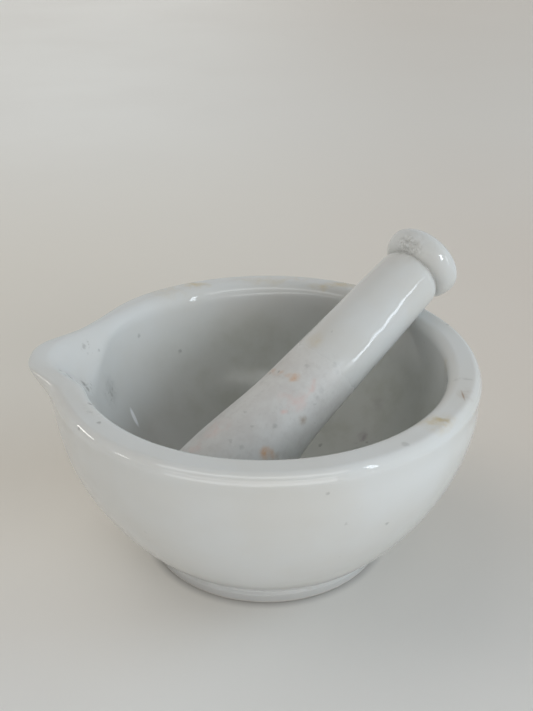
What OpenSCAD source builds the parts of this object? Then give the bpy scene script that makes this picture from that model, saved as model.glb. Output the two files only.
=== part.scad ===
// Porcelain mortar with a pouring lip, and its pestle leaning in the bowl.
// Millimetres, +Z up. The origin is on the mortar's own axis at the level of the
// surface it stands on. The pouring lip points along -X.

/* [Mortar] */
// Diameter over the rim
rim_d = 100; // [90:1:110]
// Height from the table to the top of the rim
mortar_h = 49.2; // [44:0.1:56]
// Width of the rim from the bowl to the outside
rim_w = 7.9; // [7:0.1:9]
// Radius of the rounding between the bowl and the rim's flat top
inner_round = 2.6; // [1.5:0.1:3]
// Width of the rounding on the rim's outer edge
edge_w = 2.6; // [1.5:0.1:3]
// Height of the rounding on the rim's outer edge
edge_h = 3.4; // [2:0.1:5]
// Thickness of the floor at the middle of the bowl, above the table
floor_h = 8; // [6:0.1:10]
// Fullness of the bowl: 2 is a plain ellipse, more is squarer
bowl_fullness = 2.25; // [2:0.05:2.6]
// Fullness of the outer wall where it leaves the foot
wall_fullness = 1.09; // [0.9:0.01:1.3]

/* [Foot] */
// Diameter of the foot ring
foot_d = 57.6; // [50:0.1:60]
// Height of the foot ring up to the crease under the wall
foot_h = 3.5; // [2.5:0.1:5]
// Depth of the crease between the foot and the wall
crease = 0.5; // [0.2:0.1:1]
// Width of the ring that touches the table
foot_ring_w = 4.5; // [3:0.1:8]
// Depth of the hollow inside the foot ring
foot_hollow = 1.4; // [0.5:0.1:2.5]
// Rounding of the foot ring's edges
foot_round = 0.7; // [0.3:0.1:1]

/* [Pouring lip] */
// How far the rim is pushed out at the tip of the lip
lip_reach = 7.6; // [4:0.1:9]
// Half width of the lip, as an angle at the mortar's axis
lip_spread = 12; // [9:0.5:15]
// How squarely the lip stands out from the rim
lip_square = 2.9; // [2:0.1:3.5]
// How far the lip's underside runs down the wall
lip_drop = 12; // [8:0.5:16]
// How far the channel is pushed out of the bowl's edge
channel_reach = 6.3; // [3:0.1:7]
// Half width of the channel, as an angle at the mortar's axis
channel_spread = 8.5; // [6:0.5:11]
// How far the channel runs down into the bowl
channel_drop = 13; // [8:0.5:16]

/* [Pestle] */
// Length from the knob's groove to the widest part of the head
shaft_l = 76; // [65:1:85]
// Radius just below the groove
grip_r = 8; // [7:0.1:9]
// Slope of the shaft: millimetres of radius gained per millimetre of length
shaft_slope = 0.023; // [0:0.001:0.03]
// Extra radius that the shaft gains where it swells into the head
head_swell = 1.8; // [1:0.1:3]
// Height of the head's rounded end
head_dome = 9; // [7:0.1:12]
// Radius at the bottom of the groove under the knob
groove_r = 7.3; // [6:0.1:7.8]
// Largest radius of the knob
knob_r = 10.4; // [9:0.1:12]
// Height from the groove to the knob's largest radius
knob_flare = 4.9; // [3:0.1:7]
// Height of the knob's low dome
knob_dome = 3.6; // [2.5:0.1:6]

/* [Pestle at rest] */
// Angle of the pestle's axis above the table
lean = 26.2; // [24:0.1:32]
// Direction that the knob points, counted from +X towards +Y
heading = 43; // [36:0.1:46]
// Middle of the head's widest part, along X
head_x = -12.7; // [-16:0.1:-10]
// Middle of the head's widest part, along Y
head_y = -20.8; // [-22:0.1:-15]
// Middle of the head's widest part, above the table
head_z = 25.6; // [22:0.1:30]

/* [Hidden] */
$fn = 96;

porcelain = [0.86, 0.88, 0.88];
bisque = [0.83, 0.81, 0.77];

rim_r = rim_d / 2;
bore_r = rim_r - rim_w;
foot_r = foot_d / 2;
crease_r = foot_r - crease;
edge_z = mortar_h - edge_h;
bowl_edge_z = mortar_h - inner_round;
bowl_depth = bowl_edge_z - floor_h;
arc_steps = 10;
wall_steps = 28;
// The bowl's curve ends in a small flat at the middle of its floor
floor_flat_r = 2;
// The cuts carry on this far above the rim
cut_above = 1;
// The pushed-out faces of the lip start this far inside the plain walls
lip_sink = 0.3;
lip_angles = [for (a = [-26 : 2 : 26]) a];
lip_levels = 12;
lip_root_r = bore_r + rim_w / 2;
channel_root_r = bore_r - 5;
// How fast the lip and the channel fade into the walls on their way down
lip_fade_power = 2.2;
channel_fade_power = 1.6;
channel_square = 2;
// The shaft swells into the head from swell_start, over swell_l
swell_start = 43;
swell_l = 32;
groove_l = 1.5;
shaft_steps = 24;
knob_curl = 1.3;

function smooth(t) = t * t * (3 - 2 * t);
function clamp(t) = min(1, max(0, t));

// Radius, at height z, of a face that lies inset inside the outer wall and rim
function outer_r(z, inset) =
    z > edge_z
        ? rim_r - edge_w + (edge_w - inset)
            * sqrt(max(0, 1 - pow((z - edge_z) / (edge_h - inset), 2)))
        : crease_r - inset + (rim_r - crease_r)
            * pow(1 - pow((edge_z - z) / (edge_z - foot_h), 2), 1 / wall_fullness);

// Radius, at height z, of a face that lies inset inside the open bowl
function inner_r(z, inset) =
    z > bowl_edge_z
        ? bore_r + inner_round
            - sqrt(pow(inner_round + inset, 2) - pow(min(z, mortar_h) - bowl_edge_z, 2))
        : bore_r * pow(1 - pow((bowl_edge_z - z) / bowl_depth, bowl_fullness),
                       1 / bowl_fullness) - inset;

// Points of the section, from the table up the outside and down into the bowl
wall_points = [
    for (i = [0 : wall_steps])
        let (z = edge_z - (edge_z - foot_h) * cos(90 * i / wall_steps))
            [outer_r(z, 0), z]
];
edge_points = [
    for (i = [1 : arc_steps])
        let (a = 90 * i / arc_steps)
            [rim_r - edge_w + edge_w * cos(a), edge_z + edge_h * sin(a)]
];
inner_round_points = [
    for (i = [0 : arc_steps])
        let (a = 90 * i / arc_steps)
            [bore_r + inner_round * (1 - sin(a)), bowl_edge_z + inner_round * cos(a)]
];
bowl_points = [
    for (i = [1 : wall_steps - 1])
        let (a = 90 * i / wall_steps)
            [bore_r * pow(cos(a), 2 / bowl_fullness),
             bowl_edge_z - bowl_depth * pow(sin(a), 2 / bowl_fullness)],
    [floor_flat_r, floor_h],
    [0, floor_h]
];
foot_points = [
    [0, foot_hollow],
    [foot_r - foot_ring_w - foot_hollow, foot_hollow],
    [foot_r - foot_ring_w, 0],
    for (i = [0 : arc_steps])
        let (a = 90 * i / arc_steps)
            [foot_r - foot_round * (1 - sin(a)), foot_round * (1 - cos(a))],
    [foot_r, foot_h - crease]
];

// The mortar's outside, filled to the top
module outside() {
    rotate_extrude()
        polygon(concat(foot_points, wall_points, edge_points, [[0, mortar_h]]));
}

// The hollow of the bowl, carried on above the rim so that the cut is clean
module bowl() {
    top = mortar_h + cut_above;
    rotate_extrude()
        polygon(concat([[0, top], [bore_r + inner_round, top]],
                       inner_round_points, bowl_points));
}

// A closed loft between a plain arc of radius root_r and an outline per level.
// outlines holds one list of radii for each height in levels.
module lip_loft(levels, outlines, root_r) {
    n = len(lip_angles);
    ring = 2 * n;
    last = len(levels) - 1;
    points = [
        for (k = [0 : last])
            for (i = [0 : ring - 1])
                let (j = i < n ? i : ring - 1 - i)
                    let (r = i < n ? outlines[k][j] : root_r)
                        [-r * cos(lip_angles[j]), -r * sin(lip_angles[j]), levels[k]]
    ];
    sides = [
        for (k = [0 : last - 1])
            for (i = [0 : ring - 1])
                let (m = (i + 1) % ring)
                    for (t = [0 : 1])
                        t == 0
                            ? [k * ring + i, (k + 1) * ring + i, (k + 1) * ring + m]
                            : [k * ring + i, (k + 1) * ring + m, k * ring + m]
    ];
    floor_face = [for (i = [0 : ring - 1]) i];
    top_face = [for (i = [0 : ring - 1]) last * ring + ring - 1 - i];
    polyhedron(points, concat([floor_face], sides, [top_face]));
}

// Evenly spaced heights, from drop below the top up to the top
function lip_heights(top, drop) =
    [for (k = [0 : lip_levels]) top - drop * (1 - k / lip_levels)];

function push_out(a, reach, spread, power) = reach * exp(-pow(abs(a) / spread, power));

module lip_body() {
    top = mortar_h - lip_sink;
    levels = lip_heights(top, lip_drop);
    outlines = [
        for (z = levels)
            let (fade = pow(1 - (top - z) / lip_drop, lip_fade_power))
                [for (a = lip_angles)
                    outer_r(z, lip_sink) + fade * push_out(a, lip_reach, lip_spread, lip_square)]
    ];
    lip_loft(levels, outlines, lip_root_r);
}

module lip_channel() {
    levels = lip_heights(mortar_h, channel_drop);
    outlines = [
        for (z = levels)
            let (fade = pow(1 - (mortar_h - z) / channel_drop, channel_fade_power))
                [for (a = lip_angles)
                    inner_r(z, lip_sink)
                        + fade * push_out(a, channel_reach, channel_spread, channel_square)]
    ];
    // the last outline is repeated above the rim, so that the cut is clean
    lip_loft(concat(levels, [mortar_h + cut_above]),
             concat(outlines, [outlines[lip_levels]]), channel_root_r);
}

module mortar() {
    color(porcelain)
        difference() {
            union() {
                outside();
                lip_body();
            }
            bowl();
            lip_channel();
        }
}

// Radius of the shaft at a distance below the groove
function shaft_r(s) =
    grip_r + shaft_slope * s + head_swell * smooth(clamp((s - swell_start) / swell_l));

// Points of the pestle's section: its axis is +Z and the head's widest part is at 0
head_points = [
    for (i = [0 : arc_steps * 2])
        let (a = 90 * i / (arc_steps * 2))
            [shaft_r(shaft_l) * sin(a), -head_dome * cos(a)]
];
shaft_points = [
    for (i = [1 : shaft_steps])
        let (s = shaft_l + (groove_l - shaft_l) * i / shaft_steps)
            [shaft_r(s), shaft_l - s]
];
knob_points = [
    for (i = [0 : arc_steps])
        let (a = 90 * i / arc_steps)
            [groove_r + (knob_r - groove_r) * pow(sin(a), knob_curl),
             shaft_l + knob_flare * i / arc_steps],
    for (i = [1 : arc_steps])
        let (a = 90 * i / arc_steps)
            [knob_r * cos(a), shaft_l + knob_flare + knob_dome * sin(a)]
];

module pestle() {
    color(bisque)
        translate([head_x, head_y, head_z])
            rotate([0, 90 - lean, heading])
                rotate_extrude()
                    polygon(concat(head_points, shaft_points, knob_points));
}

mortar();
pestle();
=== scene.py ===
"""Looks of a glazed porcelain mortar with a pouring lip, and of its pestle.

Metres, +Z up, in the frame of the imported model: the mortar's axis is Z, it stands on
z = 0, and its lip points along -X. Shapes are worked out in millimetres and scaled once.
"""

import bmesh
import bpy
import numpy as np
from mathutils import Euler, Matrix, Vector, noise


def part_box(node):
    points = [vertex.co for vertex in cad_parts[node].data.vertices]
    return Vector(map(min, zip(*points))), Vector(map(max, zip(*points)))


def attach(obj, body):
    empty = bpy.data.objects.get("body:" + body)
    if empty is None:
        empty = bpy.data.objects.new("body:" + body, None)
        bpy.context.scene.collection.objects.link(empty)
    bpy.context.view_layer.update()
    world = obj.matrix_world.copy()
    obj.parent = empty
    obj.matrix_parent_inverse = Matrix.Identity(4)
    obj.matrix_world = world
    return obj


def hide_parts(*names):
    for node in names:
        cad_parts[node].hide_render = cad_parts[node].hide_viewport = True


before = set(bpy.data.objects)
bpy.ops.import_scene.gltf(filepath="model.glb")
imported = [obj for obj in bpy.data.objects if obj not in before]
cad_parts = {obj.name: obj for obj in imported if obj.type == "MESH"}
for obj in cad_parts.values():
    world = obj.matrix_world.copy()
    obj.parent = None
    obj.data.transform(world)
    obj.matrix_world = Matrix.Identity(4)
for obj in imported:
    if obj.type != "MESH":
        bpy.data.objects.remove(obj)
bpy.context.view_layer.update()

MM = 0.001

# ---------------------------------------------------------------- driving sizes, mm

# The mortar
MORTAR_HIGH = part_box("mortar")[1]
RIM_R = MORTAR_HIGH.x / MM
RIM_Z = MORTAR_HIGH.z / MM
RIM_W = 7.9
BORE_R = RIM_R - RIM_W
EDGE_W = 2.6
EDGE_H = 3.4
EDGE_Z = RIM_Z - EDGE_H
INNER_ROUND = 2.6
BOWL_EDGE_Z = RIM_Z - INNER_ROUND
FLOOR_Z = 8.0
BOWL_DEPTH = BOWL_EDGE_Z - FLOOR_Z
BOWL_FULLNESS = 2.25
WALL_FULLNESS = 1.09
FOOT_R = 28.8
FOOT_TOP_R = FOOT_R + 0.7
FOOT_H = 3.5
FOOT_RING_W = 4.5
FOOT_HOLLOW = 1.4

# The lip and its channel. Angles are in degrees from the lip, positive towards +Y.
LIP_MIDDLE = 0.8
LIP_REACH = 7.15
LIP_SPREAD = 12.2
LIP_SQUARE = 2.9
LIP_DROP = 11.0
CHANNEL_MIDDLE = 3.0
CHANNEL_REACH = 7.8
# Away from the lip, the channel's edge lies this far inside the bowl's edge
CHANNEL_SINK = 0.6
# How widely the channel is rounded where it meets the bowl
CHANNEL_BLEND = 1.5

# The pestle, and where it rests
SHAFT_L = 76.0
GRIP_R = 8.0
SHAFT_SLOPE = 0.023
HEAD_SWELL = 1.8
SWELL_START = 43.0
SWELL_L = 32.0
HEAD_DOME = 9.0
GROOVE_R = 6.9
KNOB_R = 9.9
KNOB_FLARE = 4.3
KNOB_DOME = 4.0
# The shaft starts to narrow into the groove this far below it
SHOULDER = 3.0
# The glaze ends about this far above the head's widest part
GLAZE_EDGE = 43.0
LEAN = 26.2
HEADING = 43.0
PESTLE_TURN = (0.0, np.radians(90.0 - LEAN), np.radians(HEADING))
HEAD_AT = (-12.7, -20.8, 25.6)


def smooth(t):
    """0 below 0, 1 above 1, and a smooth step between."""
    t = np.clip(t, 0.0, 1.0)
    return t * t * (3.0 - 2.0 * t)


def hump(x, centre, width):
    """A bell curve of height 1."""
    return np.exp(-(((x - centre) / width) ** 2))


def soft_max(a, b, blend):
    """The larger of a and b, rounded over about blend where they meet."""
    gap = np.clip(np.abs(a - b) / blend, 0.0, 1.0)
    return np.maximum(a, b) + 0.25 * blend * (1.0 - gap) ** 2


# ---------------------------------------------------------------- meshes


def waviness(points, size, seed):
    """Smooth noise between -1 and 1 at each point, with bumps about size mm across."""
    shift = Vector((seed, 2.0 * seed, -seed))
    return np.array([noise.noise(Vector(p) / size + shift) for p in points])


def turned(r, z, turn):
    """A section turned about Z: columns x rows x 3, one column for each angle of turn."""
    return np.stack([r * np.cos(turn), r * np.sin(turn), z], -1)


def add_object(name, data):
    """A new object in the scene."""
    made = bpy.data.objects.new(name, data)
    bpy.context.scene.collection.objects.link(made)
    return made


def grid_mesh(name, grid, first_pole, last_pole, values=None):
    """A closed mesh of revolution: grid is columns x rows x 3 in mm, and the rows run
    from first_pole to last_pole. values maps attribute names to one number a row."""
    columns, rows, _ = grid.shape
    points = np.concatenate([grid.reshape(-1, 3), [first_pole, last_pole]]) * MM
    bottom, top = columns * rows, columns * rows + 1
    faces = []
    for i in range(columns):
        j = (i + 1) % columns
        a, b = i * rows, j * rows
        faces.append((bottom, b, a))
        faces.extend((a + k, b + k, b + k + 1, a + k + 1) for k in range(rows - 1))
        faces.append((top, a + rows - 1, b + rows - 1))
    mesh = bpy.data.meshes.new(name)
    mesh.from_pydata(points.tolist(), [], faces)
    work = bmesh.new()
    work.from_mesh(mesh)
    bmesh.ops.recalc_face_normals(work, faces=work.faces)
    work.to_mesh(mesh)
    work.free()
    for label, row_values in (values or {}).items():
        spread = np.concatenate([np.tile(row_values, columns), [row_values[0], row_values[-1]]])
        layer = mesh.attributes.new(label, "FLOAT", "POINT")
        layer.data.foreach_set("value", spread.astype(np.float32))
    mesh.polygons.foreach_set("use_smooth", [True] * len(mesh.polygons))
    mesh.update()
    return add_object(name, mesh)


def stand_for(piece, node, material):
    """Show the piece instead of the CAD node, moving with the node's body."""
    piece.data.materials.append(material)
    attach(piece, node)
    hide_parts(node)
    return piece


# ---------------------------------------------------------------- mortar


class Section:
    """The mortar's radius and height, mm, at every angle of phi, in rows that run from the
    middle of its underside to the middle of the bowl's floor. bowl is how deep in the bowl
    a row counts as, from 0 to 1, and bare is how much of it is unglazed."""

    def __init__(self, phi):
        self.phi = phi[:, None]
        self.r, self.z, self.bowl, self.bare = [], [], [], []

    def add(self, r, z, bowl=0.0, bare=0.0):
        r, z = np.broadcast_arrays(r + 0.0 * self.phi, z + 0.0 * self.phi)
        self.r.append(r)
        self.z.append(z)
        self.bowl.append(np.broadcast_to(bowl, r.shape[1]))
        self.bare.append(np.broadcast_to(bare, r.shape[1]))


def lip_push(phi):
    """How far the rim's outer edge is moved out at angle phi, mm: out at the lip, and
    in on each side of it."""
    tip = LIP_REACH * np.exp(-((np.abs(phi - LIP_MIDDLE) / LIP_SPREAD) ** LIP_SQUARE))
    pinch = 1.4 * hump(phi, 27.0, 12.0) + 0.3 * hump(phi, -27.0, 11.0)
    return tip - pinch


def channel_edge(phi):
    """Radius at which the pouring channel cuts the top of the rim at angle phi, mm."""
    spread = np.where(phi > CHANNEL_MIDDLE, 17.5, 14.0)
    return BORE_R - CHANNEL_SINK + CHANNEL_REACH * hump(phi, CHANNEL_MIDDLE, spread)


def crease_edge(phi):
    """Radius of the crease between the foot and the wall at angle phi, mm: it is deepest
    at the front left."""
    return FOOT_TOP_R - 0.15 - 0.45 * hump(phi, -60.0, 50.0)


def bowl_wall(z):
    """Radius of the plain bowl at height z, mm."""
    depth = np.clip((BOWL_EDGE_Z - z) / BOWL_DEPTH, 0.0, 1.0)
    return BORE_R * (1.0 - depth ** BOWL_FULLNESS) ** (1.0 / BOWL_FULLNESS)


def outside(phi, r, z):
    """Radius of the outer wall at angle phi and height z, mm: its plain radius r, drawn in
    a little under the rim, pushed out with the lip and necked on each side of it."""
    below_rim = 0.35 * hump(z, EDGE_Z - 2.0, 3.0)
    fade = np.clip(1.0 - (RIM_Z - z) / LIP_DROP, 0.0, 1.0) ** 2.0
    neck = hump(phi, 25.0, 11.0) + 0.4 * hump(phi, -25.0, 11.0)
    return r - below_rim + fade * lip_push(phi) - neck * hump(z, RIM_Z - 9.0, 7.0)


def edge_width(phi):
    """Width of the rounding on the rim's outer edge at angle phi, mm: it is narrower
    just behind the lip."""
    return EDGE_W - 0.8 * hump(phi, 18.0, 11.0)


def soft_chamfer(steps):
    """The section of an edge that reads as round, flat, round: from (1, 0) to (0, 1)."""
    fine, flatness = 40, 0.75
    t = np.linspace(0.0, 1.0, fine * steps + 1)
    turn = np.radians(90.0) * (t - flatness * np.sin(4.0 * np.pi * t) / (4.0 * np.pi))
    x = np.concatenate([[0.0], np.cumsum(np.sin(turn[1:]))])
    z = np.concatenate([[0.0], np.cumsum(np.cos(turn[1:]))])
    pick = slice(0, None, fine)
    return 1.0 - x[pick] / x[-1], z[pick] / z[-1]


def add_foot(section):
    """The hollow underside, the ring that the mortar stands on, its side and the crease."""
    ring_in, ring_out = FOOT_R - FOOT_RING_W, FOOT_R - 0.2
    hollow_side, round_w, round_h, crease_h = 1.6, 0.6, 0.7, 1.0
    section.add(np.linspace(1.5, ring_in - 2.2, 8)[None], FOOT_HOLLOW)
    t = np.linspace(0.0, 1.0, 8)[None]
    section.add(ring_in - hollow_side + hollow_side * t, FOOT_HOLLOW * (1.0 - smooth(t)))
    section.add(np.linspace(ring_in + 0.4, ring_out, 5)[None], 0.0, bare=1.0)
    a = np.radians(np.linspace(12.0, 90.0, 8))[None]
    section.add(ring_out + round_w * np.sin(a), round_h * (1.0 - np.cos(a)), bare=0.4)
    t = np.linspace(0.12, 1.0, 7)[None]
    section.add(ring_out + round_w + (FOOT_TOP_R - ring_out - round_w) * t ** 0.9,
                round_h + (FOOT_H - crease_h - round_h) * t)
    t = np.linspace(0.15, 1.0, 6)[None]
    crease = crease_edge(section.phi)
    section.add(FOOT_TOP_R - (FOOT_TOP_R - crease) * smooth(t), FOOT_H - crease_h + crease_h * t)


def add_wall(section):
    """The wall, and the two-step rounding of the rim's outer edge."""
    phi, wall_h = section.phi, EDGE_Z - FOOT_H
    z = EDGE_Z - wall_h * np.cos(np.radians(np.linspace(3.0, 90.0, 64)))[None]
    up = 1.0 - ((EDGE_Z - z) / wall_h) ** 2
    crease = crease_edge(phi)
    section.add(outside(phi, crease + (RIM_R - crease) * up ** (1.0 / WALL_FULLNESS), z), z)
    edge_x, edge_z = soft_chamfer(28)
    z = EDGE_Z + EDGE_H * edge_z[None, 1:]
    r = RIM_R - edge_width(phi) * (1.0 - edge_x[None, 1:])
    groove = 0.14 * hump(z, RIM_Z - 1.85, 0.55)
    section.add(outside(phi, r - groove, z), z)


def add_rim_and_bowl(section):
    """The rim's flat top, the rounding inside it, the pouring channel and the bowl."""
    phi = section.phi
    outer = outside(phi, RIM_R - edge_width(phi), RIM_Z)
    channel = channel_edge(phi)
    bore = soft_max(bowl_wall(RIM_Z), channel, CHANNEL_BLEND)
    dish, dish_w, dish_down = 1.7, 9.0, 14.0

    def dished(r, z):
        """Height z, lowered where the lip's top is dished towards the channel."""
        drop = dish * hump(phi, CHANNEL_MIDDLE, 20.0) * smooth((outer - r) / dish_w)
        return z - drop * smooth((z - RIM_Z + dish_down) / dish_down)

    # the inner rounding is broader and deeper at the back left
    broad = hump(phi, 66.0, 38.0)
    round_w = np.minimum(INNER_ROUND + 0.8 * broad, outer - bore - 0.3)
    round_h = INNER_ROUND + 2.4 * broad
    t = np.linspace(0.0, 1.0, 9)[None, 1:-1]
    r = outer + (bore + round_w - outer) * t
    section.add(r, dished(r, RIM_Z))

    near_edge = INNER_ROUND * (1.0 - np.cos(np.radians(np.linspace(0.0, 84.0, 18))))
    down = INNER_ROUND + BOWL_DEPTH * np.sin(np.radians(np.linspace(0.8, 89.0, 76))) ** 1.1
    depth = np.concatenate([near_edge, down])
    rounding = 1.0 - np.sqrt(1.0 - np.clip(1.0 - depth / round_h, 0.0, 1.0) ** 2)
    # the channel slopes inwards, and is gone before the bowl's floor
    slope = channel - 0.80 * depth - 30.0 * smooth((depth - 16.0) / 20.0)
    z = RIM_Z - depth
    r = soft_max(bowl_wall(z), slope, CHANNEL_BLEND) + round_w * rounding
    section.add(r, dished(r, z), bowl=smooth((depth - 3.0) / 16.0))


def make_mortar():
    phi = np.linspace(-180.0, 180.0, 360, endpoint=False)
    section = Section(phi)
    add_foot(section)
    add_wall(section)
    add_rim_and_bowl(section)
    r, z = np.hstack(section.r), np.hstack(section.z)
    turn = np.radians(180.0 - phi)[:, None]
    points = turned(r, z, turn).reshape(-1, 3)
    uneven = 0.07 * waviness(points, 24.0, 3.0) + 0.014 * waviness(points, 6.0, 7.0)
    # none of it where the foot stands on the table
    uneven = uneven * smooth(points[:, 2] / 6.0)
    grid = turned(r + uneven.reshape(r.shape), z, turn)
    piece = grid_mesh("mortar_body", grid, (0.0, 0.0, FOOT_HOLLOW), (0.0, 0.0, FLOOR_Z),
                      {"bowl": np.concatenate(section.bowl),
                       "bare": np.concatenate(section.bare)})
    return stand_for(piece, "mortar", mortar_glaze())


# ---------------------------------------------------------------- pestle


def shaft_r(s):
    """Radius of the shaft at s mm below the groove."""
    return GRIP_R + SHAFT_SLOPE * s + HEAD_SWELL * smooth((s - SWELL_START) / SWELL_L)


def pestle_section():
    """Radius and height, mm: the head's widest part is at 0, and the axis is Z."""
    a = np.radians(np.linspace(0.0, 90.0, 34))[1:]
    head = np.stack([shaft_r(SHAFT_L) * np.sin(a), -HEAD_DOME * np.cos(a)], -1)
    s = np.linspace(SHAFT_L, SHOULDER, 130)[1:]
    shaft = np.stack([shaft_r(s), SHAFT_L - s], -1)
    t = np.linspace(0.0, 1.0, 14)[1:]
    neck = np.stack([shaft_r(SHOULDER) + (GROOVE_R - shaft_r(SHOULDER)) * t ** 2.3,
                     SHAFT_L - SHOULDER + SHOULDER * t], -1)
    a = np.radians(np.linspace(0.0, 90.0, 32))[1:]
    flare = np.stack([GROOVE_R + (KNOB_R - GROOVE_R) * np.sin(a) ** 0.8,
                      SHAFT_L + KNOB_FLARE * (1.0 - np.cos(a)) ** 0.9], -1)
    dome = np.stack([KNOB_R * np.cos(a) ** 0.6,
                     SHAFT_L + KNOB_FLARE + KNOB_DOME * np.sin(a) ** 1.1], -1)[:-1]
    return np.concatenate([head, shaft, neck, flare, dome])


def make_pestle():
    section = pestle_section()
    turn = np.radians(np.linspace(0.0, 360.0, 240, endpoint=False))[:, None]
    r = np.broadcast_to(section[None, :, 0], (len(turn), len(section)))
    z = np.broadcast_to(section[None, :, 1], r.shape)
    points = turned(r, z, turn).reshape(-1, 3)
    uneven = 0.08 * waviness(points, 15.0, 11.0) + 0.035 * waviness(points, 5.0, 17.0)
    # the pitted patch on the knob
    rough = np.exp(-(((points - (-8.3, -0.2, 77.0)) / (3.6, 4.2, 2.6)) ** 2).sum(1))
    pits = 0.55 * waviness(points, 1.7, 23.0) + 0.35 * waviness(points, 0.9, 29.0)
    r = r + (uneven + rough * np.minimum(pits, 0.12)).reshape(r.shape)
    # the knob sits a little off the shaft's axis
    off = 0.3 * smooth((z - SHAFT_L + 1.0) / 4.0)
    grid = turned(r, z, turn) + off[..., None] * (-0.77, 0.64, 0.0)
    # the middle of the head's end, and the middle of the knob's dome
    poles = np.array([(0.0, 0.0, -HEAD_DOME),
                      (-0.23, 0.19, SHAFT_L + KNOB_FLARE + KNOB_DOME)])

    lay_down = np.array(Euler(PESTLE_TURN).to_matrix()).T
    first, last = poles @ lay_down + HEAD_AT
    piece = grid_mesh("pestle_body", grid @ lay_down + HEAD_AT, first, last)
    return stand_for(piece, "pestle", pestle_ceramic())


# ---------------------------------------------------------------- materials


def set_smooth_step(map_range, *numbers):
    """Set a Map Range node: numbers are from low, from high, to low and to high."""
    map_range.interpolation_type = "SMOOTHSTEP"
    for name, number in zip(("From Min", "From Max", "To Min", "To Max"), numbers):
        map_range.inputs[name].default_value = number


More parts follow.
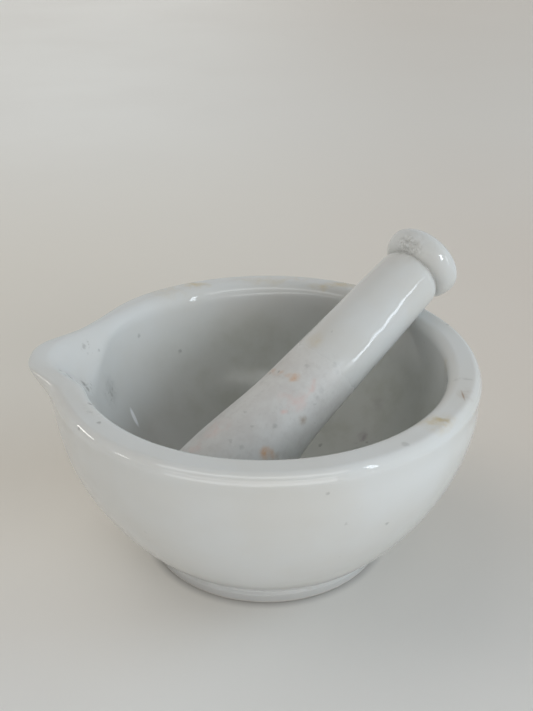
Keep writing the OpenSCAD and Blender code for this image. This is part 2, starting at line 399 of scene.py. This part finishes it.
class Shader:
    """One node material: each method adds nodes and gives back an output."""

    def __init__(self, name):
        self.material = bpy.data.materials.new(name)
        self.material.use_nodes = True
        self.tree = self.material.node_tree
        self.surface = self.tree.nodes["Principled BSDF"]
        self.place = self.node("ShaderNodeTexCoord").outputs["Object"]

    def node(self, kind, **settings):
        made = self.tree.nodes.new(kind)
        for key, value in settings.items():
            setattr(made, key, value)
        return made

    def put(self, socket, value):
        """Link the value to the socket if it is an output, and set the socket if not."""
        if isinstance(value, bpy.types.NodeSocket):
            self.tree.links.new(value, socket)
        else:
            socket.default_value = value

    def math(self, operation, a, b, clamp=False):
        made = self.node("ShaderNodeMath", operation=operation, use_clamp=clamp)
        self.put(made.inputs[0], a)
        self.put(made.inputs[1], b)
        return made.outputs[0]

    def times(self, a, b):
        return self.math("MULTIPLY", a, b)

    def vector(self, operation, a, b=(0.0, 0.0, 0.0)):
        made = self.node("ShaderNodeVectorMath", operation=operation)
        self.put(made.inputs[0], a)
        self.put(made.inputs[1], b)
        return made.outputs["Value" if operation == "LENGTH" else "Vector"]

    def ramp(self, value, low, high, to_low=0.0, to_high=1.0):
        """A smooth step from to_low, where value is low, to to_high, where it is high."""
        made = self.node("ShaderNodeMapRange")
        set_smooth_step(made, low, high, to_low, to_high)
        self.put(made.inputs["Value"], value)
        return made.outputs[0]

    def noise(self, size, detail=3.0, roughness=0.5, colour=False):
        """Noise with features about size mm across."""
        made = self.node("ShaderNodeTexNoise")
        self.put(made.inputs["Vector"], self.place)
        made.inputs["Scale"].default_value = 1.0 / (size * MM)
        made.inputs["Detail"].default_value = detail
        made.inputs["Roughness"].default_value = roughness
        return made.outputs["Color" if colour else "Fac"]

    def mix(self, amount, a, b):
        """Colour a where amount is 0, and colour b where it is 1."""
        made = self.node("ShaderNodeMix", data_type="RGBA")
        self.put(made.inputs["Factor"], amount)
        self.put(made.inputs["A"], (*a, 1.0) if isinstance(a, tuple) else a)
        self.put(made.inputs["B"], (*b, 1.0) if isinstance(b, tuple) else b)
        return made.outputs["Result"]

    def attribute(self, name):
        return self.node("ShaderNodeAttribute", attribute_name=name).outputs["Fac"]

    def axis(self, name):
        """The place along the axis of that name, in metres."""
        made = self.node("ShaderNodeSeparateXYZ")
        self.put(made.inputs[0], self.place)
        return made.outputs[name]

    def lying(self, centre, rotation):
        """The place in a frame that is moved to centre, in metres, and turned."""
        made = self.node("ShaderNodeMapping", vector_type="TEXTURE")
        self.put(made.inputs["Vector"], self.place)
        made.inputs["Location"].default_value = centre
        made.inputs["Rotation"].default_value = rotation
        return made.outputs[0]

    def warped(self, size, amount):
        """The place, pushed about by up to amount mm by noise, so that edges wander."""
        push = self.vector("SUBTRACT", self.noise(size, colour=True), (0.5, 0.5, 0.5))
        reach = 2.0 * amount * MM
        return self.vector("ADD", self.place, self.vector("MULTIPLY", push, (reach,) * 3))

    def spot(self, place, centre, size, texture, core=0.1):
        """A spot round centre, mm: size is its half widths, it is full inside the share
        core of them, and texture, a number or an output, is its strength."""
        offset = self.vector("SUBTRACT", place, tuple(c * MM for c in centre))
        scaled = self.vector("DIVIDE", offset, tuple(s * MM for s in size))
        near = self.ramp(self.vector("LENGTH", scaled), 1.0, core)
        return self.times(near, texture)

    def stained(self, colour, stains, place, texture):
        """The colour with stains: rows of centre, half widths, tint and strength."""
        for centre, size, tint, strength in stains:
            mask = self.spot(place, centre, size, texture)
            colour = self.mix(self.times(mask, strength), colour, tint)
        return colour

    def flecked(self, colour, flecks):
        """The colour with small dark flecks: rows of centre, half width and strength."""
        rough_edge = self.warped(1.2, 0.6)
        total = 0.0
        for centre, half_width, strength in flecks:
            mask = self.spot(rough_edge, centre, (half_width,) * 3, strength, 0.3)
            total = self.math("MAXIMUM", mask, total)
        return self.mix(total, colour, DARK_GREY)

    def dots(self, size, share, place):
        """Small round dots, in about share of the cells of a size mm pattern."""
        outer, inner = 0.13, 0.06
        made = self.node("ShaderNodeTexVoronoi")
        self.put(made.inputs["Vector"], place)
        made.inputs["Scale"].default_value = 1.0 / (size * MM)
        pick = self.node("ShaderNodeSeparateColor")
        self.put(pick.inputs[0], made.outputs["Color"])
        chosen = self.ramp(pick.outputs[0], 1.0 - share, 1.0 - share + 0.01)
        return self.times(self.ramp(made.outputs["Distance"], outer, inner), chosen)

    def bump(self, height, strength, distance, normal=None):
        """A bump of up to distance mm, on top of normal if there is one."""
        made = self.node("ShaderNodeBump")
        made.inputs["Strength"].default_value = strength
        made.inputs["Distance"].default_value = distance * MM
        self.put(made.inputs["Height"], height)
        if normal is not None:
            self.put(made.inputs["Normal"], normal)
        return made.outputs[0]

    def porcelain(self, colour, roughness, normal):
        self.put(self.surface.inputs["Base Color"], colour)
        self.put(self.surface.inputs["Roughness"], roughness)
        self.put(self.surface.inputs["Normal"], normal)
        self.surface.inputs["IOR"].default_value = 1.5
        self.surface.inputs["Subsurface Weight"].default_value = 0.12
        self.surface.inputs["Subsurface Radius"].default_value = (0.004, 0.0035, 0.003)
        self.surface.inputs["Subsurface Scale"].default_value = 0.5
        return self.material


# Colours of the porcelain, bare and glazed, and of what lies on it
WHITE = (0.625, 0.636, 0.627)
WARM_WHITE = (0.600, 0.598, 0.572)
BOWL_GREY = (0.545, 0.560, 0.532)
# dust on the foot, and painted shade over the foot and its crease
FILM_GREY = (0.430, 0.440, 0.385)
DUST_AND_SHADE_GREY = (0.430, 0.432, 0.425)
BARE_CLAY = (0.560, 0.520, 0.460)
DIRTY_CLAY = (0.440, 0.400, 0.350)
PALE_BISQUE = (0.610, 0.608, 0.590)
WARM_BISQUE = (0.560, 0.548, 0.530)
WORN_BISQUE = (0.500, 0.490, 0.470)
PIT_GREY = (0.330, 0.330, 0.310)
CHIP_WHITE = (0.820, 0.830, 0.810)
# the colour of a painted highlight, the bright line in the bowl
HIGHLIGHT_WHITE = (0.950, 0.970, 1.000)
OLIVE = (0.330, 0.270, 0.120)
YELLOW_BROWN = (0.560, 0.480, 0.330)
DARK_GREY = (0.180, 0.180, 0.170)
PURPLE_GREY = (0.300, 0.250, 0.270)
ORANGE = (0.560, 0.330, 0.180)
PINK = (0.680, 0.480, 0.440)
BROWN = (0.330, 0.240, 0.170)

# Stains on the rim and in the bowl: centre and half widths in mm, tint, strength
MORTAR_STAINS = (
    ((36.7, -29.2, 49.2), (2.2, 1.5, 1.5), OLIVE, 1.00),
    ((36.0, -30.0, 49.2), (6.5, 5.0, 2.0), YELLOW_BROWN, 0.80),
    ((43.4, -18.6, 49.2), (2.4, 3.4, 2.0), BROWN, 0.40),
    ((44.0, -11.6, 49.2), (2.8, 1.0, 2.0), DARK_GREY, 0.45),
    ((42.1, -1.0, 46.9), (1.8, 5.0, 1.8), YELLOW_BROWN, 0.45),
    ((20.5, 41.6, 49.0), (12.0, 2.8, 2.0), YELLOW_BROWN, 1.00),
    ((2.0, 45.5, 49.0), (16.0, 3.0, 2.0), YELLOW_BROWN, 0.45),
    ((-19.5, 41.8, 48.8), (6.0, 2.4, 2.0), YELLOW_BROWN, 1.00),
    ((-28.0, 38.0, 48.6), (9.0, 4.0, 2.5), YELLOW_BROWN, 0.45),
    ((25.1, 15.8, 17.2), (3.6, 2.4, 2.2), PURPLE_GREY, 0.60),
    ((29.5, 20.6, 24.0), (3.5, 3.5, 3.5), PURPLE_GREY, 0.30),
    ((-39.0, 10.5, 34.0), (3.5, 4.5, 6.0), DARK_GREY, 0.25),
    ((-43.5, 1.0, 41.5), (3.0, 3.5, 4.0), DARK_GREY, 0.20),
)
# Worn, speckled patches in the channel, in the bowl and on the rim
MORTAR_WEAR = (
    ((-46.0, -2.0, 44.5), (4.5, 3.5, 4.5), DARK_GREY, 0.55),
    ((-42.5, 1.5, 39.5), (3.5, 5.0, 4.0), DARK_GREY, 0.45),
    ((-44.0, 11.0, 46.0), (3.0, 3.0, 2.5), DARK_GREY, 0.40),
    ((-38.5, 10.5, 34.0), (3.5, 5.0, 5.0), DARK_GREY, 0.30),
    ((-36.0, -23.0, 49.0), (5.0, 7.0, 1.5), DARK_GREY, 0.25),
    ((26.0, 12.0, 17.0), (7.0, 7.0, 4.0), DARK_GREY, 0.35),
)
# Dark flecks: centre and half width in mm, strength
MORTAR_FLECKS = (
    ((-44.4, 10.4, 46.7), 0.9, 0.35),
    ((-41.2, 12.1, 44.7), 0.6, 0.35),
    ((-47.6, -3.3, 47.2), 0.9, 0.50),
    ((-46.3, -2.0, 45.3), 0.8, 0.40),
    ((-43.5, 1.2, 41.2), 1.1, 0.60),
    ((-42.6, 0.4, 40.2), 1.0, 0.55),
    ((-37.9, -21.4, 48.8), 0.9, 0.50),
    ((-34.7, -29.8, 49.2), 0.8, 0.45),
    ((-38.9, -29.9, 48.1), 0.8, 0.40),
    ((-33.0, 25.8, 41.8), 0.8, 0.35),
    ((-23.3, 33.1, 33.6), 0.8, 0.40),
    ((-38.7, 10.8, 32.7), 0.9, 0.30),
    ((11.9, -48.2, 44.1), 0.6, 0.32),
    ((15.8, -46.2, 35.4), 0.6, 0.20),
    ((-31.3, -31.3, 23.1), 0.8, 0.35),
    ((27.7, -38.4, 49.2), 1.2, 0.25),
)
# The ends of the painted highlight in the bowl, mm: a thin pale bluish line painted where a
# window's reflection shows
HIGHLIGHT_FROM = Vector((-35.0, 14.3, 27.1))
HIGHLIGHT_TO = Vector((-32.7, 12.0, 22.5))

# On the pestle, Z is along its own axis, from the head's widest part
PESTLE_STAINS = (
    ((-8.1, 4.1, 30.1), (2.2, 3.4, 2.4), ORANGE, 0.85),
    ((-8.9, 1.8, 30.6), (1.6, 2.2, 1.6), ORANGE, 0.70),
    ((-8.5, -3.0, 30.6), (1.8, 2.0, 1.8), ORANGE, 0.95),
    ((-8.9, -0.8, 30.4), (1.6, 2.0, 1.2), ORANGE, 0.45),
    ((-6.4, -6.4, 31.0), (1.8, 1.7, 3.6), PINK, 0.75),
    ((-7.0, -6.2, 27.0), (2.8, 2.8, 3.8), PINK, 0.50),
    ((-7.2, -6.4, 23.0), (1.6, 1.6, 1.4), PINK, 0.85),
    ((-8.0, -4.5, 25.5), (3.0, 3.2, 3.2), PINK, 0.40),
    ((-4.1, -8.5, 25.3), (1.9, 1.7, 1.7), BROWN, 0.70),
    ((-6.2, -8.9, 11.7), (2.4, 2.0, 2.4), ORANGE, 0.95),
    ((-5.2, -9.3, 13.6), (1.8, 1.7, 1.8), ORANGE, 0.60),
    ((-3.6, -9.9, 14.4), (1.2, 1.2, 1.2), BROWN, 0.60),
    ((-10.7, 2.5, 10.1), (3.5, 3.5, 4.5), PINK, 0.45),
    ((-11.2, 1.7, 4.3), (3.0, 3.0, 3.0), PINK, 0.45),
    ((-8.7, 1.4, 42.0), (3.0, 3.5, 3.5), YELLOW_BROWN, 0.45),
    ((-8.5, -1.0, 76.8), (2.8, 3.4, 2.0), DARK_GREY, 0.42),
    ((-6.8, 2.5, 75.8), (2.8, 3.4, 1.0), DARK_GREY, 0.45),
)
PESTLE_FLECKS = (
    ((-8.0, 4.5, 29.3), 0.6, 0.45),
    ((-8.9, 2.1, 30.1), 0.5, 0.45),
    ((-8.5, -2.8, 34.9), 0.8, 0.22),
    ((-7.2, -7.0, 18.5), 0.8, 0.28),
    ((-9.3, -5.9, 9.6), 0.8, 0.25),
    ((-10.6, -3.3, 8.9), 0.6, 0.22),
    ((-9.6, -4.2, 14.9), 0.6, 0.20),
    ((-10.3, -0.3, 16.8), 0.7, 0.20),
    ((-4.7, -7.5, 38.8), 0.9, 0.14),
    ((-5.9, -6.6, 39.7), 0.8, 0.14),
    ((-4.6, -7.7, 33.0), 1.1, 0.16),
    ((-4.1, -8.1, 31.0), 0.8, 0.14),
)


def mortar_glaze():
    s = Shader("mortar_glaze")
    wander = s.warped(4.0, 2.0)
    bare = s.attribute("bare")
    colour = s.mix(s.ramp(s.noise(26.0), 0.35, 0.70), WHITE, WARM_WHITE)
    # the bowl is greyer away from the lip, under a patchy film, and the foot and its crease are
    # darker: some dust, and painted shade
    bowl = s.times(s.attribute("bowl"), s.ramp(s.axis("X"), -37.0 * MM, -4.0 * MM, 0.1, 1.0))
    colour = s.mix(bowl, colour, BOWL_GREY)
    film = s.times(bowl, s.ramp(s.noise(9.0, 5.0, 0.6), 0.42, 0.72, 0.0, 0.50))
    colour = s.mix(film, colour, FILM_GREY)
    foot_dust_and_shade = s.ramp(s.axis("Z"), (FOOT_H + 1.6) * MM, (FOOT_H - 1.2) * MM, 0.0, 0.80)
    colour = s.mix(foot_dust_and_shade, colour, DUST_AND_SHADE_GREY)
    patchy = s.ramp(s.noise(2.6, 3.0, 0.6), 0.25, 0.70)
    colour = s.stained(colour, MORTAR_STAINS, wander, patchy)
    speckled = s.ramp(s.noise(0.9, 2.0), 0.54, 0.68)
    colour = s.stained(colour, MORTAR_WEAR, wander, speckled)
    colour = s.flecked(colour, MORTAR_FLECKS)
    # a fine brown line on the rim, and a painted highlight in the bowl: a thin pale bluish line
    # standing in for a reflection
    line = s.spot(s.place, (42.7, -19.0, 49.2), (0.35, 3.0, 1.5), 0.80)
    colour = s.mix(line, colour, BROWN)
    run = HIGHLIGHT_TO - HIGHLIGHT_FROM
    lying = s.lying((HIGHLIGHT_FROM + HIGHLIGHT_TO) * 0.5 * MM, run.to_track_quat("X", "Z").to_euler())
    painted_highlight = s.spot(lying, (0.0, 0.0, 0.0), (3.2, 0.80, 1.0), 1.0, 0.5)
    colour = s.mix(painted_highlight, colour, HIGHLIGHT_WHITE)
    dots = s.times(s.dots(5.0, 0.08, wander), s.ramp(s.noise(14.0), 0.45, 0.60, 0.10, 0.45))
    colour = s.mix(dots, colour, DARK_GREY)
    colour = s.mix(bare, colour, s.mix(s.noise(3.0, 5.0), BARE_CLAY, DIRTY_CLAY))
    # smudges on the gloss, and rougher in the bowl, on the dusty, shade-painted foot and where it
    # is bare
    smudged = s.ramp(s.noise(12.0, 4.0, 0.6), 0.40, 0.75, 0.03, 0.10)
    roughness = s.math("ADD", smudged, s.times(bowl, 0.15))
    roughness = s.math("ADD", roughness, s.times(foot_dust_and_shade, 0.15))
    roughness = s.math("ADD", roughness, s.times(bare, 0.50), clamp=True)
    ripple = s.bump(s.noise(5.0, 2.0), 0.10, 0.10)
    grain = s.times(s.noise(0.5, 3.0, 0.6), s.math("ADD", bare, 0.01))
    return s.porcelain(colour, roughness, s.bump(grain, 0.4, 0.12, ripple))


def pestle_ceramic():
    s = Shader("pestle_ceramic")
    # the place is counted in the pestle's own frame, as its stains are
    s.place = s.lying(Vector(HEAD_AT) * MM, PESTLE_TURN)
    wander = s.warped(6.0, 3.0)
    # the glaze fades out along a wandering line
    stray = s.times(s.math("SUBTRACT", s.noise(9.0), 0.5), 12.0 * MM)
    glazed = s.ramp(s.math("ADD", s.axis("Z"), stray),
                    (GLAZE_EDGE - 9.0) * MM, (GLAZE_EDGE + 4.0) * MM)
    bare = s.math("SUBTRACT", 1.0, glazed)
    glaze = s.mix(s.ramp(s.noise(20.0), 0.35, 0.7), WHITE, WARM_WHITE)
    bisque = s.mix(s.ramp(s.noise(5.0, 5.0, 0.6), 0.35, 0.7), PALE_BISQUE, WARM_BISQUE)
    mottled = s.ramp(s.noise(1.4, 4.0, 0.6), 0.48, 0.70, 0.0, 0.40)
    bisque = s.mix(mottled, bisque, WORN_BISQUE)
    colour = s.mix(glazed, bisque, glaze)
    patchy = s.ramp(s.noise(2.8, 4.0, 0.6), 0.28, 0.68)
    colour = s.stained(colour, PESTLE_STAINS, wander, patchy)
    colour = s.flecked(colour, PESTLE_FLECKS)
    colour = s.mix(s.times(s.dots(4.0, 0.12, wander), 0.18), colour, DARK_GREY)
    # the pitted patch on the knob: dark pits and pale chips
    patch = s.spot(wander, (-8.3, -0.2, 77.2), (4.2, 5.0, 3.0), 1.0, 0.3)
    pits = s.times(s.ramp(s.noise(0.9, 2.0), 0.46, 0.60), 0.55)
    chips = s.ramp(s.noise(0.7, 2.0), 0.60, 0.70, 0.0, 0.8)
    colour = s.mix(s.times(patch, pits), colour, PIT_GREY)
    colour = s.mix(s.times(patch, chips), colour, CHIP_WHITE)
    smudged = s.ramp(s.noise(8.0, 4.0), 0.4, 0.75, 0.03, 0.10)
    roughness = s.math("ADD", smudged, s.times(bare, 0.42), clamp=True)
    ripple = s.bump(s.noise(6.0, 2.0), 0.15, 0.15)
    ripple = s.bump(s.times(patch, s.noise(0.9, 2.0)), 0.8, 0.6, ripple)
    grain = s.times(s.noise(0.6, 3.0, 0.6), s.math("ADD", bare, 0.01))
    return s.porcelain(colour, roughness, s.bump(grain, 0.4, 0.10, ripple))


# ---------------------------------------------------------------- stage, light, camera

# The floor's colours
FLOOR_LEFT = (0.870, 0.865, 0.835)
FLOOR_RIGHT = (0.700, 0.670, 0.625)
FLOOR_FAR_LEFT = (0.765, 0.725, 0.655)
FLOOR_FAR_RIGHT = (0.690, 0.630, 0.565)
FLOOR_NEAR = (0.800, 0.795, 0.780)
FLOOR_CLOUD = (0.740, 0.715, 0.675)
# painted shadows on the floor: beside the bowl, and where the foot stands
FLOOR_SHADOW_BESIDE = (0.500, 0.490, 0.470)
FLOOR_CONTACT_SHADOW = (0.300, 0.298, 0.292)

# The lights' colours
WORLD_WHITE = (0.96, 0.95, 0.93, 1.0)
CEILING_WHITE = (1.0, 0.98, 0.94)
FAR_WHITE = (1.0, 0.99, 0.97)
CLOUD_WHITE = (0.98, 0.99, 1.0)
SKY_BLUE = (0.64, 0.83, 1.0)
WARM_WINDOW = (1.0, 0.97, 0.92)
COOL_WINDOW = (0.82, 0.91, 1.0)
WINDOW_AWAY = 0.8


def make_floor():
    """The plain pale floor. Its tints change with the distance from the bowl, in metres: it is
    painted lighter to the left and in front, and darker and warmer to the right and behind, as
    painted light and shade.
    """
    reach = 4.0
    corners = [(-reach, -reach, 0), (reach, -reach, 0), (reach, reach, 0), (-reach, reach, 0)]
    mesh = bpy.data.meshes.new("floor")
    mesh.from_pydata(corners, [], [(0, 1, 2, 3)])
    floor = add_object("floor", mesh)
    s = Shader("floor")
    across, away = s.axis("X"), s.axis("Y")
    # painted light and shade: lighter to the left and in front, darker and warmer to the right and
    # behind
    colour = s.mix(s.ramp(across, -0.16, 0.16), FLOOR_LEFT, FLOOR_RIGHT)
    far_tint = s.mix(s.ramp(across, -0.05, 0.12), FLOOR_FAR_LEFT, FLOOR_FAR_RIGHT)
    behind = s.times(s.ramp(away, -0.06, 0.05), s.ramp(away, 0.45, 0.10))
    colour = s.mix(behind, colour, far_tint)
    colour = s.mix(s.times(s.ramp(away, 0.0, -0.07), 0.6), colour, FLOOR_NEAR)
    clouds = s.ramp(s.noise(120.0, 4.0), 0.3, 0.8, 0.0, 0.25)
    colour = s.mix(clouds, colour, FLOOR_CLOUD)
    # painted shadows: a little darker to the right of the bowl, and in a soft ring where the foot
    # stands
    painted_shadow_beside = s.spot(s.place, (48.0, -14.0, 0.0), (62.0, 62.0, 62.0), 0.22, 0.2)
    colour = s.mix(painted_shadow_beside, colour, FLOOR_SHADOW_BESIDE)
    painted_contact_shadow = s.ramp(s.vector("LENGTH", s.place), (FOOT_R + 2.6) * MM, FOOT_R * MM, 0.0, 0.55)
    colour = s.mix(painted_contact_shadow, colour, FLOOR_CONTACT_SHADOW)
    s.put(s.surface.inputs["Base Color"], colour)
    s.surface.inputs["Roughness"].default_value = 0.7
    s.surface.inputs["Specular IOR Level"].default_value = 0.2
    mesh.materials.append(s.material)


def make_world():
    """A soft light from all round."""
    world = bpy.data.worlds.new("studio")
    world.use_nodes = True
    tree = world.node_tree
    sky = tree.nodes["Background"]
    sky.inputs["Color"].default_value = WORLD_WHITE
    # brightest near the horizon, as in a room with pale walls
    axes = tree.nodes.new("ShaderNodeSeparateXYZ")
    fade = tree.nodes.new("ShaderNodeMapRange")
    set_smooth_step(fade, 0.35, 0.90, 0.58, 0.22)
    tree.links.new(tree.nodes.new("ShaderNodeTexCoord").outputs["Generated"], axes.inputs[0])
    tree.links.new(axes.outputs["Z"], fade.inputs["Value"])
    tree.links.new(fade.outputs[0], sky.inputs["Strength"])
    bpy.context.scene.world = world


def area_light(name, bearing, elevation, distance, size, radiance, colour, only=None):
    """A rectangle of light facing the bowl: bearing is from +Y towards +X, in degrees,
    radiance is how bright its surface is, and only is the one piece that it shines on."""
    data = bpy.data.lights.new(name, "AREA")
    data.shape = "RECTANGLE"
    data.size, data.size_y = size
    data.energy = radiance * np.pi * size[0] * size[1]
    data.color = colour
    light = add_object(name, data)
    b, e = np.radians(bearing), np.radians(elevation)
    out = Vector((np.sin(b) * np.cos(e), np.cos(b) * np.cos(e), np.sin(e)))
    light.location = Vector((0.0, 0.0, RIM_Z * MM)) + out * distance
    light.rotation_mode = "QUATERNION"
    light.rotation_quaternion = out.to_track_quat("Z", "Y")
    light.visible_camera = False
    if only is not None:
        group = bpy.data.collections.new(name)
        group.objects.link(only)
        light.light_linking.receiver_collection = group
    return light


def make_lights(mortar, pestle):
    """Fills that the glaze doesn't mirror, then the lights that it does mirror."""
    fills = (
        area_light("left_ceiling", -70.0, 60.0, 1.2, (1.1, 1.1), 0.78, CEILING_WHITE),
        area_light("right_sky", 87.0, 24.0, 1.0, (0.6, 0.45), 3.70, SKY_BLUE),
        area_light("front_sky", 154.0, 17.0, 1.3, (1.5, 0.6), 2.35, CLOUD_WHITE),
        area_light("far_fill", 0.0, 30.0, 1.6, (1.6, 1.0), 0.80, FAR_WHITE),
    )
    for fill in fills:
        fill.visible_glossy = False
    # the far one hangs over the floor behind the bowl, and shines straight down
    fills[-1].rotation_quaternion = (1.0, 0.0, 0.0, 0.0)
    # long bands for the front of the rim
    bands = (
        area_light("low_band", -172.0, 6.0, 1.3, (2.2, 0.16), 2.4, CLOUD_WHITE, mortar),
        area_light("high_band", -172.0, 42.0, 1.3, (2.2, 0.28), 2.3, CLOUD_WHITE, mortar),
    )
    for band in bands:
        band.visible_diffuse = False
    # windows: name, bearing, elevation, size, radiance, colour, and the only piece that
    # it shines on, or None for all of them
    windows = (
        ("left_window", -82.0, 8.0, (0.22, 0.06), 11.0, WARM_WINDOW, None),
        ("near_left_window", -109.0, 3.5, (0.14, 0.07), 7.0, WARM_WINDOW, None),
        ("mortar_window", 129.0, 17.0, (0.06, 0.36), 9.0, COOL_WINDOW, mortar),
        ("pestle_window", 110.7, 11.5, (0.04, 0.34), 7.5, COOL_WINDOW, pestle),
    )
    for name, bearing, elevation, size, radiance, colour, only in windows:
        area_light(name, bearing, elevation, WINDOW_AWAY, size, radiance, colour, only)
    knob_window = area_light("knob_window", 131.0, 24.0, WINDOW_AWAY, (0.14, 0.20), 14.0,
                             COOL_WINDOW, pestle)
    knob_window.visible_diffuse = False


def make_camera():
    """The viewpoint: in front of the mortar, looking down into the bowl."""
    data = bpy.data.cameras.new("camera")
    long_side, focal_in_pixels = 711.0, 1000.0
    data.sensor_width = 36.0
    data.lens = focal_in_pixels / long_side * data.sensor_width
    data.clip_start, data.clip_end = 0.01, 20.0
    camera = add_object("camera", data)
    camera.location = (0.0, -0.2074, 0.1571)
    # it looks a tenth of a millimetre to the right of the rim's middle, and as much above
    away = camera.location - Vector((0.0001, 0.0, RIM_Z * MM + 0.0001))
    camera.rotation_mode = "QUATERNION"
    roll = Matrix.Rotation(np.radians(-0.22), 3, "Z").to_quaternion()
    camera.rotation_quaternion = away.to_track_quat("Z", "Y") @ roll
    bpy.context.scene.camera = camera


make_camera()
make_floor()
mortar_piece = make_mortar()
pestle_piece = make_pestle()
make_world()
make_lights(mortar_piece, pestle_piece)
# colours come out as they are set, with no film curve
bpy.context.scene.view_settings.view_transform = "Standard"
